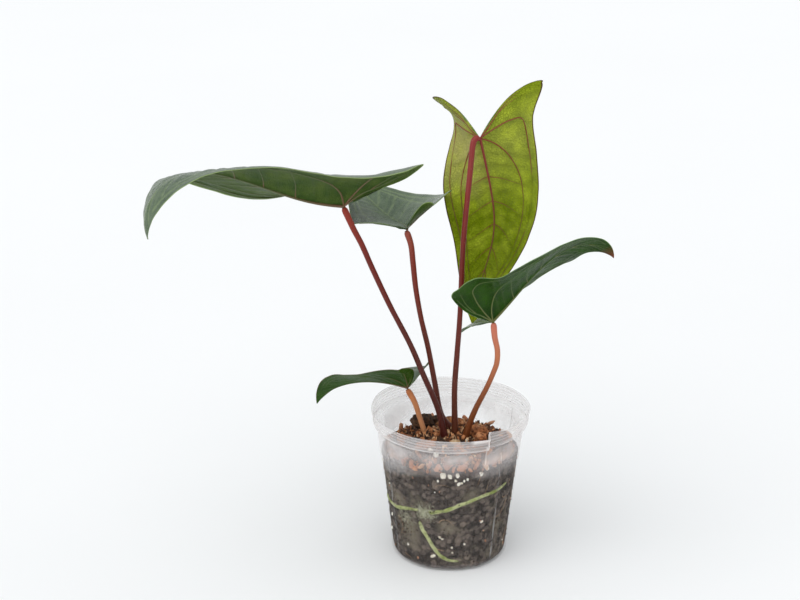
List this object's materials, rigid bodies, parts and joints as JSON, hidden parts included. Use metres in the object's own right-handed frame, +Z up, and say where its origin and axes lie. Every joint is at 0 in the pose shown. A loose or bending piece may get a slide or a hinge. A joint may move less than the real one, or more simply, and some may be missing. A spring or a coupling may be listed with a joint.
{
  "type": "potted anthurium",
  "caption": "Young anthurium with heart-shaped leaves on long red stalks, growing in bark mix in a clear plastic nursery pot.",
  "frame": {"origin": "centre of the pot's flat base, on its underside", "axes": "+Z up, -Y towards the side the plant is usually seen from, -X towards the long leaf"},
  "size_m": [0.3091, 0.1892, 0.3246],
  "materials": {
    "clear_plastic": "thin clear moulded polypropylene, slightly milky, faintly glossy",
    "potting_mix": "coarse peat and bark mix with white perlite grains",
    "stem": "fibrous brown stem",
    "stalk": "smooth dark red leaf stalk",
    "young_stalk": "smooth orange-brown young leaf stalk",
    "green_blade": "satin dark green leaf, paler veins",
    "pale_blade": "satin yellow-green leaf with red veins below",
    "root": "pale yellow-green living root",
    "orange_bark": "rough orange-brown bark",
    "dark_bark": "rough dark brown husk",
    "grey_bark": "rough grey bark strip",
    "cream_bark": "pale fresh wood chip"
  },
  "bodies": {
    "root": {"clear_pot": "clear_plastic", "potting_mix": "potting_mix", "stem_base": "stem", "leaf_stalk_1": "stalk", "leaf_stalk_2": "stalk", "leaf_stalk_3": "stalk", "leaf_stalk_4": "young_stalk", "leaf_stalk_5": "young_stalk", "leaf_blade_1": "green_blade", "leaf_blade_2": "green_blade", "leaf_blade_3": "pale_blade", "leaf_blade_4": "green_blade", "leaf_blade_5": "green_blade", "root_1": "root", "root_2": "root", "root_3": "root", "root_4": "root", "dark_husk_chunk": "dark_bark", "orange_chip_left": "orange_bark", "grey_bark_strip": "grey_bark", "front_bark_chip": "orange_bark", "small_chip_front": "dark_bark", "cream_chip": "cream_bark", "husk_chunk_right": "orange_bark", "standing_chip": "orange_bark", "edge_chip_right": "dark_bark", "back_bark_chip": "orange_bark", "back_dark_chip": "dark_bark"}
  },
  "joints": []
}
